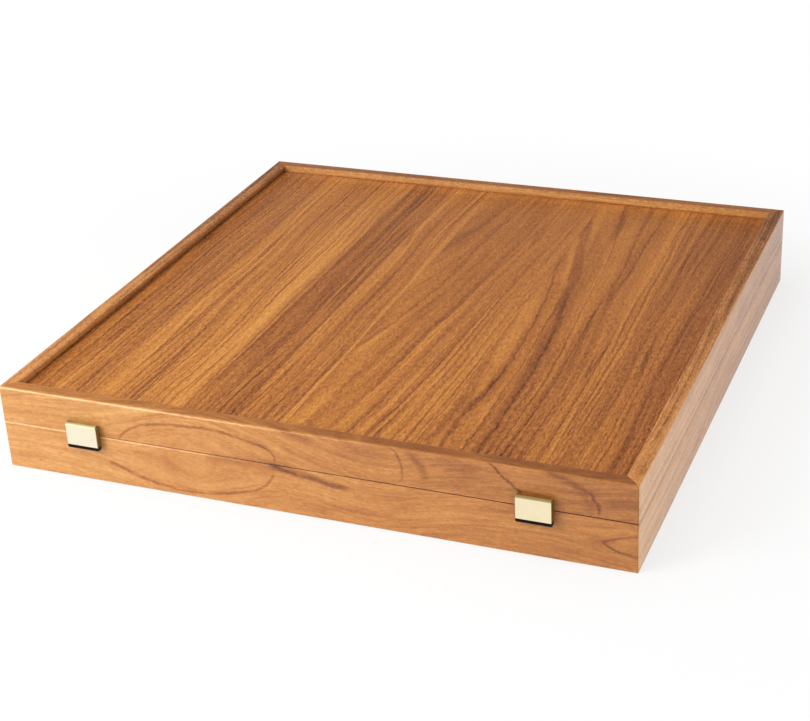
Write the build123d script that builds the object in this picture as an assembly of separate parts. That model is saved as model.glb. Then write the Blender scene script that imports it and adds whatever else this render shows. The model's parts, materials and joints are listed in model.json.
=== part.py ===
from build123d import *
from math import atan2, cos, degrees, radians, sin
import os

# A square wooden chess case. A shallow lid is hinged at the back of a tray and held at the front by
# two sprung brass clasps. The tray has a lined floor, six compartments and a loose playing board.
# Millimetres. X runs along the front to the right, Y from front to back, and Z up.
# The origin is the middle of the footprint, on the surface that the case stands on.

# Case
case_width = 340.0
case_depth = 340.0
case_height = 47.0
seam_height = 26.8
wall = 8.0
corner_round = 1.2
top_edge_round = 1.0
rim_inner_round = 0.7
seam_edge_round = 0.5
foot_edge_round = 0.8

# Panels, held in grooves in the walls
panel_thickness = 3.0
groove_depth = 3.0
panel_edge_clearance = 0.3
lid_panel_recess = 4.2
floor_panel_recess = 1.0

# Linings
lining_thickness = 1.0
lining_edge_clearance = 0.2

# Ledge boards and dividers inside the tray
ledge_thickness = 3.0
board_seat_below_rim = 2.5
divider_thickness = 3.0
side_bay_width = 101.5
housing_depth = 1.5
housing_clearance = 0.05

# Playing board
board_side_clearance = 0.5
board_core_thickness = 4.0
board_face_thickness = 0.6
board_border_width = 16.0
squares_per_side = 8
inlay_width = 1.5
board_edge_round = 0.5
finger_notch_radius = 9.0

# Stop hinges at the back
hinge_inset = 65.0
hinge_length = 30.0
lid_stop_angle = 95.0
stop_angle_clearance = 0.25
leaf_thickness = 1.2
leaf_edge_cover = 1.8
leaf_corner_round = 1.2
mortise_clearance = 0.05
hinge_pin_radius = 0.9
hinge_pin_clearance = 0.04
knuckle_radius = 1.8
middle_knuckle_length = 10.0
knuckle_end_clearance = 0.1
hood_clearance = 0.25
hood_thickness = 0.7
hinge_wall_clearance = 0.05

# Hinge screws
screw_spacing = 18.0
screw_off_leaf_middle = 0.6
screw_length = 8.0
screw_radius = 0.8
screw_tip_radius = 0.3
screw_head_radius = 1.6
screw_head_depth = 0.8
screw_slot_width = 0.4
screw_slot_depth = 0.35

# Screws and nails are small and many, so they and their holes are drawn in flats
fastener_sides = 12
fastener_clearance = 0.03

# Clasps at the front
clasp_inset = 49.3
clasp_width = 18.0
clasp_pin_above_seam = 5.7
clasp_lip_below_seam = 7.2
clasp_proud = 4.1
clasp_gap_to_wall = 0.3
clasp_sheet = 0.7
clasp_lip_round = 1.3
clasp_lip_reach = 1.8
clasp_back_round = 1.0
clasp_edge_bevel = 0.4
clasp_shoulder_angle = 75.0
clasp_pin_radius = 0.6
clasp_pin_clearance = 0.04
clasp_pin_seat_clearance = 0.02

# Clasp bracket on the lid and keeper on the tray
bracket_sheet = 0.8
bracket_seam_gap = 0.8
bracket_below_pin = 0.7
ear_side_clearance = 0.1
ear_radius = 1.0
ear_root_height = 2.9
keeper_seam_gap = 0.8
keeper_foot_below_seam = 6.2
keeper_width = 16.0
keeper_bead_below_seam = 2.6
keeper_bead_radius = 0.9
keeper_bead_width = 8.0

# Clasp spring, riveted inside the flap
spring_width = 5.0
spring_sheet = 0.3
spring_top_above_seam = 3.5
spring_bead_clearance = 0.2
spring_catch_reach = 0.6
spring_catch_drop = 0.35
spring_tail_reach = 0.9
spring_tail_drop = 1.6
rivet_radius = 1.1
rivet_depth = 0.5
rivet_above_seam = 1.9

# Clasp nails
nail_radius = 0.6
nail_tip_radius = 0.2
nail_head_radius = 1.2
nail_head_depth = 0.5
nail_tip_cover = 1.0
bracket_nail_spacing = 9.0
bracket_nail_above_seam = 2.9
keeper_nail_spacing = 12.0
keeper_nail_below_seam = 3.5

# Worked out from the sizes above
inner_width = case_width - 2 * wall
inner_depth = case_depth - 2 * wall
front_face = -case_depth / 2
back_face = case_depth / 2
floor_height = floor_panel_recess + panel_thickness
floor_lining_top = floor_height + lining_thickness
lid_panel_top = case_height - lid_panel_recess
lid_panel_bottom = lid_panel_top - panel_thickness
lined_width = inner_width - 2 * ledge_thickness
lined_depth = inner_depth - 2 * ledge_thickness
divider_offset = (lined_width - divider_thickness) / 2 - side_bay_width
board_seat_height = seam_height - board_seat_below_rim
board_width = inner_width - 2 * board_side_clearance
board_depth = inner_depth - 2 * board_side_clearance
board_face_bottom = board_seat_height + board_core_thickness
board_top = board_face_bottom + board_face_thickness
inlay_size = min(board_width, board_depth) - 2 * board_border_width
field_size = inlay_size - 2 * inlay_width
square_size = field_size / squares_per_side
hinge_offset = case_width / 2 - hinge_inset
leaf_depth = wall - leaf_edge_cover
screw_inset = leaf_depth / 2 + screw_off_leaf_middle
hood_inner_radius = knuckle_radius + hood_clearance
hood_outer_radius = hood_inner_radius + hood_thickness
hinge_axis_y = back_face + hood_outer_radius + hinge_wall_clearance
clasp_roll_radius = (clasp_proud - clasp_gap_to_wall) / 2
clasp_axis_proud = clasp_gap_to_wall + clasp_roll_radius
clasp_offset = case_width / 2 - clasp_inset
clasp_inner_half = clasp_width / 2 - clasp_sheet
clasp_pin_height = seam_height + clasp_pin_above_seam
clasp_lip_height = seam_height - clasp_lip_below_seam
keeper_foot_height = seam_height - keeper_foot_below_seam
keeper_bead_height = seam_height - keeper_bead_below_seam
bracket_nail_height = seam_height + bracket_nail_above_seam
keeper_nail_height = seam_height - keeper_nail_below_seam
nail_length = wall - nail_tip_cover


def block(x_low, x_high, y_low, y_high, z_low, z_high):
    """A box between two corners."""
    centre = Pos((x_low + x_high) / 2, (y_low + y_high) / 2, (z_low + z_high) / 2)
    return centre * Box(x_high - x_low, y_high - y_low, z_high - z_low)


def plate(width, depth, z_low, z_high):
    """A rectangular sheet, centred on the case."""
    return block(-width / 2, width / 2, -depth / 2, depth / 2, z_low, z_high)


def rect(u_low, u_high, v_low, v_high):
    """A rectangle between two corners of a sketch."""
    return Pos((u_low + u_high) / 2, (v_low + v_high) / 2) * Rectangle(u_high - u_low, v_high - v_low)


def pie(radius, start, end):
    """A sector of a circle of less than a half turn, angles in degrees from the sketch's first axis."""
    reach = radius / cos(radians((end - start) / 4)) * 1.01
    spokes = [start, (start + end) / 2, end]
    rays = [(reach * cos(radians(a)), reach * sin(radians(a))) for a in spokes]
    return Circle(radius) & make_face(Polyline((0, 0), *rays, close=True))


def along_x(sketch, x_low, x_high):
    """Extrudes a sketch drawn in Y and Z."""
    return extrude(Plane.YZ.offset(x_low) * sketch, x_high - x_low)


def out_of_front(sketch, x_low, x_high):
    """Extrudes a sketch drawn in distance out of the front face and height."""
    side = Plane(origin=(x_high, front_face, 0), x_dir=(0, -1, 0), z_dir=(-1, 0, 0))
    return extrude(side * sketch, x_high - x_low)


def mitred(ring, width, depth, hole_width, hole_depth):
    """Cuts a rectangular ring into four boards, along lines through its outer and inner corners."""
    x_step, y_step = (width - hole_width) / 2, (depth - hole_depth) / 2
    x, y = width / 2 + x_step, depth / 2 + y_step
    a, b = hole_width / 2 - x_step, hole_depth / 2 - y_step
    corners = {
        "front": [(-x, -y), (x, -y), (a, -b), (-a, -b)],
        "back": [(x, y), (-x, y), (-a, b), (a, b)],
        "left": [(-x, y), (-x, -y), (-a, -b), (-a, b)],
        "right": [(x, -y), (x, y), (a, b), (a, -b)],
    }
    cutters = {side: make_face(Polyline(*points, close=True)) for side, points in corners.items()}
    return {side: ring & extrude(cutter, case_height) for side, cutter in cutters.items()}


def case_ring(z_low, z_high, low_round, high_round):
    """The outer block of the lid or the tray with its edges rounded, hollowed to its walls."""
    outer = plate(case_width, case_depth, z_low, z_high)
    outer = fillet(outer.faces().sort_by(Axis.Z)[-1].edges(), high_round)
    outer = fillet(outer.faces().sort_by(Axis.Z)[0].edges(), low_round)
    outline = RectangleRounded(case_width, case_depth, corner_round)
    outer &= Pos(0, 0, z_low) * extrude(outline, z_high - z_low)
    return outer - plate(inner_width, inner_depth, z_low, z_high)


def panel_size(clearance):
    """Width and depth of a panel that reaches into the grooves, less a clearance at each edge."""
    grow = 2 * (groove_depth - clearance)
    return inner_width + grow, inner_depth + grow


def spike(top_radius, low_radius, length, clearance=0.0):
    """A taper in flats from height 0 down, or with a clearance the hole for it."""
    narrowing = (top_radius - low_radius) * cos(radians(180 / fastener_sides))
    outline = RegularPolygon(top_radius + clearance, fastener_sides)
    taper = degrees(atan2(narrowing, length))
    return extrude(outline, length + clearance, dir=(0, 0, -1), taper=taper)


def screw_form(clearance=0.0):
    """A countersunk screw from height 0 down, or with a clearance its hole."""
    shank_length = screw_length - screw_head_depth
    shank = spike(screw_radius, screw_tip_radius, shank_length, clearance)
    head = spike(screw_head_radius, screw_radius, screw_head_depth, clearance)
    return head + Pos(0, 0, -screw_head_depth) * shank


def screw():
    """A slotted wood screw that points down from height 0."""
    half_slot = screw_slot_width / 2
    reach = screw_head_radius
    return screw_form() - block(-reach, reach, -half_slot, half_slot, -screw_slot_depth, 0)


def nail_shank(clearance=0.0):
    """A nail's shank through a clasp's plate into the wall behind it, or with a clearance its hole."""
    shank = spike(nail_radius, nail_tip_radius, nail_length + bracket_sheet, clearance)
    return Rot(90, 0, 0) * Pos(0, 0, bracket_sheet) * shank


def nail():
    """A flat-headed nail driven in from the front, its head standing on the clasp's plate."""
    head = extrude(RegularPolygon(nail_head_radius, fastener_sides), nail_head_depth)
    return Rot(90, 0, 0) * Pos(0, 0, bracket_sheet) * head + nail_shank()


def hinge_places():
    """Middle of each hinge."""
    return [Pos(side * hinge_offset, hinge_axis_y, seam_height) for side in (-1, 1)]


def screw_places():
    """Places of the hinge screws at the seam."""
    y = back_face - screw_inset
    return [
        Pos(side * hinge_offset + end * screw_spacing / 2, y, seam_height)
        for side in (-1, 1)
        for end in (-1, 1)
    ]


def nail_places(spacing, height):
    """Places of the nails of both clasps at one height."""
    return [
        Pos(side * clasp_offset + end * spacing / 2, front_face, height)
        for side in (-1, 1)
        for end in (-1, 1)
    ]


def upward(shape):
    """The same piece turned to point up."""
    return mirror(shape, about=Plane.XY)


def leaf_mortise():
    """The pocket that lets a hinge leaf into the edge of a wall, about the hinge pin."""
    reach = hinge_axis_y - back_face + leaf_depth + mortise_clearance
    half = hinge_length / 2 + mortise_clearance
    return block(-half, half, -reach, 0, 0, leaf_thickness)


def hinge_leaf(own_knuckles, other_knuckles):
    """A lid leaf about the hinge pin: plate, curved stop hood and knuckles. The tray's leaf mirrors it."""
    half = hinge_length / 2
    reach = hinge_axis_y - back_face + leaf_depth
    flat = block(-half, half, -reach, 0, 0, leaf_thickness)
    inner_corners = flat.edges().filter_by(Axis.Z).group_by(Axis.Y)[0]
    flat = fillet(inner_corners, leaf_corner_round)
    hood_end = lid_stop_angle / 2 + stop_angle_clearance
    leaf = flat + along_x(pie(hood_outer_radius, hood_end, 180), -half, half)
    for x_low, x_high in other_knuckles:
        leaf -= along_x(Circle(hood_inner_radius), x_low, x_high)
    for x_low, x_high in own_knuckles:
        leaf += along_x(Circle(knuckle_radius), x_low, x_high)
    leaf -= along_x(Circle(hinge_pin_radius + hinge_pin_clearance), -half, half)
    for end in (-1, 1):
        place = Pos(end * screw_spacing / 2, back_face - screw_inset - hinge_axis_y, 0)
        leaf -= place * upward(screw_form(fastener_clearance))
    return leaf


def make_hinges():
    """Leaves, pins and screws of both stop hinges."""
    half = hinge_length / 2
    middle = middle_knuckle_length / 2
    inner = middle + knuckle_end_clearance
    lid_leaf = hinge_leaf([(-middle, middle)], [(-half, -middle), (middle, half)])
    ends = [(-half, -inner), (inner, half)]
    tray_leaf = mirror(hinge_leaf(ends, [(-inner, inner)]), about=Plane.XY)
    pin = along_x(Circle(hinge_pin_radius), -half, half)
    nodes = {}
    for side, place in zip(("left", "right"), hinge_places()):
        nodes[f"hinge_{side}_lid_leaf"] = place * lid_leaf
        nodes[f"hinge_{side}_base_leaf"] = place * tray_leaf
        nodes[f"hinge_{side}_pin"] = place * pin
    nodes["hinge_base_screws"] = [p * screw() for p in screw_places()]
    nodes["hinge_lid_screws"] = [p * upward(screw()) for p in screw_places()]
    return nodes


def make_tray():
    """Walls, floor, lining, ledges and dividers of the lower half."""
    ring = case_ring(0, seam_height, foot_edge_round, seam_edge_round)
    ring -= plate(*panel_size(0), floor_panel_recess, floor_height)
    for place in hinge_places():
        ring -= place * mirror(leaf_mortise(), about=Plane.XY)
    for place in screw_places():
        ring -= place * screw_form(fastener_clearance)
    for place in nail_places(keeper_nail_spacing, keeper_nail_height):
        ring -= place * nail_shank(fastener_clearance)
    boards = mitred(ring, case_width, case_depth, inner_width, inner_depth)
    nodes = {f"base_{side}_wall": board for side, board in boards.items()}
    nodes["base_floor_panel"] = plate(*panel_size(panel_edge_clearance), floor_panel_recess, floor_height)
    trim = 2 * lining_edge_clearance
    felt_width, felt_depth = lined_width - trim, lined_depth - trim
    nodes["base_floor_lining"] = plate(felt_width, felt_depth, floor_height, floor_lining_top)
    nodes.update(make_ledges())
    nodes.update(make_dividers())
    return nodes


def make_ledges():
    """Thin boards round the inside of the tray, which carry the playing board and house the dividers."""
    ring = plate(inner_width, inner_depth, floor_height, board_seat_height)
    ring -= plate(lined_width, lined_depth, floor_height, board_seat_height)
    half = divider_thickness / 2 + housing_clearance
    x_reach, y_reach = lined_width / 2 + housing_depth, lined_depth / 2 + housing_depth
    for side in (-1, 1):
        x = side * divider_offset
        ring -= block(x - half, x + half, -y_reach, y_reach, floor_lining_top, board_seat_height)
    ring -= block(-x_reach, x_reach, -half, half, floor_lining_top, board_seat_height)
    boards = mitred(ring, inner_width, inner_depth, lined_width, lined_depth)
    return {f"ledge_{side}": board for side, board in boards.items()}


def make_dividers():
    """Two long dividers and one across them, halved over each other where they cross."""
    half = divider_thickness / 2
    slot = half + housing_clearance
    x_reach = lined_width / 2 + housing_depth - housing_clearance
    y_reach = lined_depth / 2 + housing_depth - housing_clearance
    low, high = floor_lining_top, board_seat_height
    middle = (low + high) / 2
    across = block(-x_reach, x_reach, -half, half, low, high)
    nodes = {}
    for name, x in (("left", -divider_offset), ("right", divider_offset)):
        across -= block(x - slot, x + slot, -half, half, low, middle)
        long_board = block(x - half, x + half, -y_reach, y_reach, low, high)
        nodes[f"divider_{name}"] = long_board - block(x - half, x + half, -slot, slot, middle, high)
    nodes["divider_cross"] = across
    return nodes


def make_lid():
    """Walls, top panel and lining of the lid."""
    ring = case_ring(seam_height, case_height, seam_edge_round, top_edge_round)
    rim = ring.faces().sort_by(Axis.Z)[-1]
    ring = fillet(rim.inner_wires()[0].edges(), rim_inner_round)
    ring -= plate(*panel_size(0), lid_panel_bottom, lid_panel_top)
    for place in hinge_places():
        ring -= place * leaf_mortise()
    for place in screw_places():
        ring -= place * upward(screw_form(fastener_clearance))
    for place in nail_places(bracket_nail_spacing, bracket_nail_height):
        ring -= place * nail_shank(fastener_clearance)
    boards = mitred(ring, case_width, case_depth, inner_width, inner_depth)
    nodes = {f"lid_{side}_wall": board for side, board in boards.items()}
    nodes["lid_top_panel"] = plate(*panel_size(panel_edge_clearance), lid_panel_bottom, lid_panel_top)
    trim = 2 * lining_edge_clearance
    lining_bottom = lid_panel_bottom - lining_thickness
    nodes["lid_lining"] = plate(inner_width - trim, inner_depth - trim, lining_bottom, lid_panel_bottom)
    return nodes


def make_board():
    """The loose playing board: a core faced with squares and an inlay line, in a mitred border."""
    nodes = {"board_core": plate(inlay_size, inlay_size, board_seat_height, board_face_bottom)}
    border = plate(board_width, board_depth, board_seat_height, board_top)
    border = fillet(border.faces().sort_by(Axis.Z)[-1].edges(), board_edge_round)
    border -= plate(inlay_size, inlay_size, board_seat_height, board_top)
    border -= Pos(0, -board_depth / 2, 0) * Cylinder(finger_notch_radius, 3 * case_height)
    strips = mitred(border, board_width, board_depth, inlay_size, inlay_size)
    nodes.update({f"board_border_{side}": strip for side, strip in strips.items()})
    line = plate(inlay_size, inlay_size, board_face_bottom, board_top)
    line -= plate(field_size, field_size, board_face_bottom, board_top)
    line_strips = mitred(line, inlay_size, inlay_size, field_size, field_size)
    nodes["board_inlay_line"] = list(line_strips.values())
    tiles = {0: [], 1: []}
    for column in range(squares_per_side):
        for row in range(squares_per_side):
            x = column * square_size - field_size / 2
            y = row * square_size - field_size / 2
            tile = block(x, x + square_size, y, y + square_size, board_face_bottom, board_top)
            tiles[(column + row) % 2].append(tile)
    nodes["board_dark_squares"] = tiles[0]
    nodes["board_light_squares"] = tiles[1]
    return nodes


def flap_outline():
    """Side view of a clasp flap: a rolled top round the pin, a straight face and a curled lower lip."""
    body = rect(clasp_gap_to_wall, clasp_proud, clasp_lip_height, clasp_pin_height)
    low_back, low_front = body.vertices().group_by(Axis.Y)[0].sort_by(Axis.X)
    body = fillet(low_front, clasp_lip_round)
    low_back = body.vertices().group_by(Axis.Y)[0].sort_by(Axis.X)[0]
    body = fillet(low_back, clasp_back_round)
    return body + Pos(clasp_axis_proud, clasp_pin_height) * Circle(clasp_roll_radius)


def flap_hollow():
    """Side view of what is pressed out of the flap between its side flanges."""
    inside = clasp_proud - clasp_sheet
    floor = clasp_lip_height + clasp_sheet
    hollow = rect(-clasp_proud, inside, floor, clasp_pin_height)
    low_front = hollow.vertices().group_by(Axis.Y)[0].sort_by(Axis.X)[-1]
    hollow = fillet(low_front, clasp_lip_round - clasp_sheet)
    hollow += Pos(clasp_axis_proud, clasp_pin_height) * Circle(clasp_roll_radius - clasp_sheet)
    hollow += rect(-clasp_proud, clasp_proud - clasp_lip_reach, floor - 2 * clasp_sheet, floor + clasp_sheet)
    reach = 3 * clasp_roll_radius
    opening = pie(reach, clasp_shoulder_angle, 200)
    return hollow + Pos(clasp_axis_proud, clasp_pin_height) * opening


def make_flap(x):
    """A pressed brass flap with side flanges, a rolled top and a curled lip."""
    half = clasp_width / 2
    flap = out_of_front(flap_outline(), x - half, x + half)
    rims = [e for e in flap.edges() if abs(abs(e.center().X - x) - half) < 0.01]
    axis_y = front_face - clasp_axis_proud
    outer_rims = [e for e in rims if e.center().Y < axis_y]
    flap = chamfer(outer_rims, clasp_edge_bevel)
    flap -= out_of_front(flap_hollow(), x - clasp_inner_half, x + clasp_inner_half)
    hole = Pos(clasp_axis_proud, clasp_pin_height) * Circle(clasp_pin_radius + clasp_pin_seat_clearance)
    return flap - out_of_front(hole, x - half, x + half)


def make_bracket(x):
    """The plate nailed to the lid, with two ears that carry the flap's pin."""
    half = clasp_inner_half - ear_side_clearance
    axis = Pos(clasp_axis_proud, clasp_pin_height)
    top = clasp_pin_height - bracket_below_pin
    bracket = out_of_front(rect(0, bracket_sheet, seam_height + bracket_seam_gap, top), x - half, x + half)
    root = Line((bracket_sheet, top - ear_root_height), (bracket_sheet, top))
    ear = make_hull((axis * Circle(ear_radius)).edges() + root.edges())
    ear -= axis * Circle(clasp_pin_radius + clasp_pin_clearance)
    bracket += out_of_front(ear, x - half, x - half + bracket_sheet)
    bracket += out_of_front(ear, x + half - bracket_sheet, x + half)
    for end in (-1, 1):
        place = Pos(x + end * bracket_nail_spacing / 2, front_face, bracket_nail_height)
        bracket -= place * nail_shank(fastener_clearance)
    return bracket


def make_keeper(x):
    """The plate nailed to the tray, with the half-round bead that the spring snaps under."""
    half, bead_half = keeper_width / 2, keeper_bead_width / 2
    sheet = rect(0, bracket_sheet, keeper_foot_height, seam_height - keeper_seam_gap)
    bead = Pos(bracket_sheet, keeper_bead_height) * Circle(keeper_bead_radius)
    bead &= rect(bracket_sheet, 2 * keeper_bead_radius, keeper_foot_height, seam_height)
    keeper = out_of_front(sheet, x - half, x + half) + out_of_front(bead, x - bead_half, x + bead_half)
    for end in (-1, 1):
        place = Pos(x + end * keeper_nail_spacing / 2, front_face, keeper_nail_height)
        keeper -= place * nail_shank(fastener_clearance)
    return keeper


def make_spring(x):
    """The bent spring leaf inside the flap, with its rivet head."""
    seat = clasp_proud - clasp_sheet
    line = seat - spring_sheet / 2
    bead_top = keeper_bead_height + keeper_bead_radius
    passing = bracket_sheet + keeper_bead_radius + spring_bead_clearance + spring_sheet / 2
    apex = passing - spring_catch_reach
    apex_height = keeper_bead_height - keeper_bead_radius - spring_catch_drop
    bends = [
        (line, seam_height + spring_top_above_seam),
        (line, seam_height),
        (passing, bead_top),
        (passing, keeper_bead_height),
        (apex, apex_height),
        (apex + spring_tail_reach, apex_height - spring_tail_drop),
    ]
    leaf = make_face(offset(Polyline(*bends), spring_sheet / 2, kind=Kind.INTERSECTION))
    spring = out_of_front(leaf, x - spring_width / 2, x + spring_width / 2)
    face = front_face - seat + spring_sheet
    place = Pos(x, face, seam_height + rivet_above_seam) * Rot(-90, 0, 0)
    head = Cylinder(rivet_radius, rivet_depth, align=(Align.CENTER, Align.CENTER, Align.MIN))
    return spring + place * head


def make_clasps():
    """Both clasps, with their nails."""
    nodes = {}
    for name, x in (("left", -clasp_offset), ("right", clasp_offset)):
        axle = Pos(clasp_axis_proud, clasp_pin_height) * Circle(clasp_pin_radius)
        nodes[f"clasp_{name}_flap"] = make_flap(x)
        nodes[f"clasp_{name}_pin"] = out_of_front(axle, x - clasp_width / 2, x + clasp_width / 2)
        nodes[f"clasp_{name}_bracket"] = make_bracket(x)
        nodes[f"clasp_{name}_keeper"] = make_keeper(x)
        nodes[f"clasp_{name}_spring"] = make_spring(x)
    bracket_places = nail_places(bracket_nail_spacing, bracket_nail_height)
    keeper_places = nail_places(keeper_nail_spacing, keeper_nail_height)
    nodes["clasp_bracket_nails"] = [place * nail() for place in bracket_places]
    nodes["clasp_keeper_nails"] = [place * nail() for place in keeper_places]
    return nodes


def write(nodes):
    """Writes each sub-part to its own file."""
    os.makedirs("parts", exist_ok=True)
    for name, shape in nodes.items():
        pieces = shape if isinstance(shape, list) else [shape]
        solids = [solid for piece in pieces for solid in piece.solids()]
        export_step(solids[0] if len(solids) == 1 else Compound(children=solids), f"parts/{name}.step")


write({**make_tray(), **make_lid(), **make_hinges(), **make_clasps(), **make_board()})
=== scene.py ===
import json
from math import asin, cos, hypot, pi, radians, sin, tau

import bmesh
import bpy
from mathutils import Matrix, Vector, noise

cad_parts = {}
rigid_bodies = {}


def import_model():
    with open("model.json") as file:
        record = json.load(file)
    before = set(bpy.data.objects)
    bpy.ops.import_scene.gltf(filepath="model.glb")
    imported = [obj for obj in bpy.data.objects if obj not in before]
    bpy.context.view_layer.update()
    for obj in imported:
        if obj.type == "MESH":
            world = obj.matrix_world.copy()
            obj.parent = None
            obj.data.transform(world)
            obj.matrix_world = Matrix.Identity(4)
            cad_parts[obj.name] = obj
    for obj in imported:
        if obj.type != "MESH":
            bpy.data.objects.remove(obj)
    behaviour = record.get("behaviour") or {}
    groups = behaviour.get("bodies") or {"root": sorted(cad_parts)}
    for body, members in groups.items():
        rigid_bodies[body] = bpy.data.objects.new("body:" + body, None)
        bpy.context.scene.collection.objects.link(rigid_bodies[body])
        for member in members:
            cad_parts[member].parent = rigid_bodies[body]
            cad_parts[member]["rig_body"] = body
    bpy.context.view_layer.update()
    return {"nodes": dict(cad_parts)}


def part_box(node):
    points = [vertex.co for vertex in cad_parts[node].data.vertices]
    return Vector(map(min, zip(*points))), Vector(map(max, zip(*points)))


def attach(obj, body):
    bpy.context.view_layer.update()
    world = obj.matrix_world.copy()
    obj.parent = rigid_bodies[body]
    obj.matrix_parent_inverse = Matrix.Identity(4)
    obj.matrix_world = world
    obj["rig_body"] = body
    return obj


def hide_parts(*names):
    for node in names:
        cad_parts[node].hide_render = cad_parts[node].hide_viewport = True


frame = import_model()
nodes = frame["nodes"]

# The camera, fitted to the outline of the case in the photograph. Metres and degrees.
camera_place = (0.34037, -0.83327, 0.45988)
camera_turn = (63.095, 2.722, 21.617)
camera_lens = 78.22
sensor_width = 36.0

# The case, read from the frame, in metres
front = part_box("base_front_wall")[0].y
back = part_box("base_back_wall")[1].y
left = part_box("base_left_wall")[0].x
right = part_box("base_right_wall")[1].x
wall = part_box("base_front_wall")[1].y - front
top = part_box("lid_back_wall")[1].z
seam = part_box("lid_front_wall")[0].z
panel_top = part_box("lid_top_panel")[1].z

# Millimetres in a metre, and metres in a millimetre
MM = 1000.0
MILLI = 0.001


class Graph:
    """A node tree written as plain arithmetic. A value is a socket, a number or a colour."""

    def __init__(self, tree):
        self.tree = tree

    def feed(self, socket, value):
        if isinstance(value, bpy.types.NodeSocket):
            self.tree.links.new(value, socket)
        elif value is not None:
            socket.default_value = value

    def node(self, kind, **settings):
        made = self.tree.nodes.new(kind)
        for name, value in settings.items():
            setattr(made, name, value)
        return made

    def math(self, operation, *values):
        made = self.node("ShaderNodeMath", operation=operation)
        for socket, value in zip(made.inputs, values):
            self.feed(socket, value)
        return made.outputs[0]

    def add(self, a, b):
        return self.math("ADD", a, b)

    def sub(self, a, b):
        return self.math("SUBTRACT", a, b)

    def mul(self, a, b):
        return self.math("MULTIPLY", a, b)

    def total(self, *values):
        result = values[0]
        for value in values[1:]:
            result = self.add(result, value)
        return result

    def combine(self, x, y, z):
        made = self.node("ShaderNodeCombineXYZ")
        for socket, value in zip(made.inputs, (x, y, z)):
            self.feed(socket, value)
        return made.outputs[0]

    def split(self, vector):
        """X, Y and Z of a vector."""
        made = self.node("ShaderNodeSeparateXYZ")
        self.feed(made.inputs[0], vector)
        return made.outputs[0], made.outputs[1], made.outputs[2]

    def millimetres(self):
        """The rest position on the object, as X, Y and Z in millimetres."""
        place = self.node("ShaderNodeTexCoord").outputs["Object"]
        scaled = self.node("ShaderNodeVectorMath", operation="SCALE")
        self.feed(scaled.inputs[0], place)
        scaled.inputs["Scale"].default_value = MM
        return self.split(scaled.outputs[0])

    def noise(self, vector, detail=2.0, roughness=0.5):
        """Smooth noise about zero, from about -0.5 to 0.5."""
        made = self.node("ShaderNodeTexNoise")
        self.feed(made.inputs["Vector"], vector)
        made.inputs["Scale"].default_value = 1.0
        made.inputs["Detail"].default_value = detail
        made.inputs["Roughness"].default_value = roughness
        return self.sub(made.outputs[0], 0.5)

    def smooth(self, value, low, high, to_low=0.0, to_high=1.0):
        """A smooth step of value from low to high."""
        made = self.node("ShaderNodeMapRange", interpolation_type="SMOOTHSTEP")
        names = ("Value", "From Min", "From Max", "To Min", "To Max")
        for name, x in zip(names, (value, low, high, to_low, to_high)):
            self.feed(made.inputs[name], x)
        return made.outputs[0]

    def steps(self, value, edges, levels, low, high):
        """A level for each stretch of value between its edges."""
        made = self.node("ShaderNodeValToRGB")
        made.color_ramp.interpolation = "CONSTANT"
        elements = made.color_ramp.elements
        while len(elements) < len(levels):
            elements.new(1.0)
        for element, edge, level in zip(elements, [low, *edges], levels):
            element.position = (edge - low) / (high - low)
            element.color = (*level, 1.0)
        self.feed(made.inputs[0], self.mul(self.sub(value, low), 1.0 / (high - low)))
        split = self.node("ShaderNodeSeparateColor")
        self.feed(split.inputs[0], made.outputs[0])
        return split.outputs[0], split.outputs[1], split.outputs[2]

    def ramp(self, value, colours):
        """Blends evenly through a list of colours as value goes from 0 to 1."""
        made = self.node("ShaderNodeValToRGB")
        elements = made.color_ramp.elements
        while len(elements) < len(colours):
            elements.new(1.0)
        for number, (element, colour) in enumerate(zip(elements, colours)):
            element.position = number / (len(colours) - 1)
            element.color = linear(colour)
        self.feed(made.inputs[0], value)
        return made.outputs[0]

    def mix(self, a, b, factor):
        """Blends two colours. The node's colours are its inputs 6 and 7 and its output 2."""
        made = self.node("ShaderNodeMix", data_type="RGBA")
        self.feed(made.inputs[0], factor)
        self.feed(made.inputs[6], a)
        self.feed(made.inputs[7], b)
        return made.outputs[2]


def linear(colour):
    """Red, green and blue of 0 to 255 as the linear colour that a shader takes."""
    parts = [part / 255 for part in colour]
    return (*(p / 12.92 if p <= 0.04045 else ((p + 0.055) / 1.055) ** 2.4 for p in parts), 1.0)


def material(name):
    """A new material, its graph and its shader."""
    made = bpy.data.materials.new(name)
    made.use_nodes = True
    graph = Graph(made.node_tree)
    return made, graph, made.node_tree.nodes["Principled BSDF"]


def bump(g, shader, height, depth):
    """Raises the surface by height, from 0 to 1, times depth in metres."""
    made = g.node("ShaderNodeBump")
    made.inputs["Distance"].default_value = depth
    g.feed(made.inputs["Height"], height)
    g.feed(shader.inputs["Normal"], made.outputs[0])


# Wood. Along and flow are millimetres along the grain and across its figure, depth is into the board.
PANEL_TONES = [(64, 32, 14), (112, 62, 26), (154, 90, 42), (188, 118, 53), (214, 144, 66), (230, 170, 92)]
FRONT_TONES = [(66, 32, 15), (118, 66, 30), (154, 93, 44), (188, 123, 61), (212, 154, 88), (230, 184, 128)]
SIDE_TONES = [(70, 38, 18), (120, 72, 36), (164, 104, 54), (204, 137, 76), (230, 161, 93), (244, 187, 126)]
WALNUT = [(66, 34, 15), (112, 64, 28), (152, 92, 44), (186, 120, 58), (212, 148, 76), (232, 178, 112)]


WOOD_SPECULAR = 0.35
WOOD_COAT_ROUGHNESS = 0.22
# How far the finish is raised by its bump, in metres
WOOD_RELIEF = 0.00006
METAL_RELIEF = 0.000002
NAP_RELIEF = 0.0003


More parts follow.
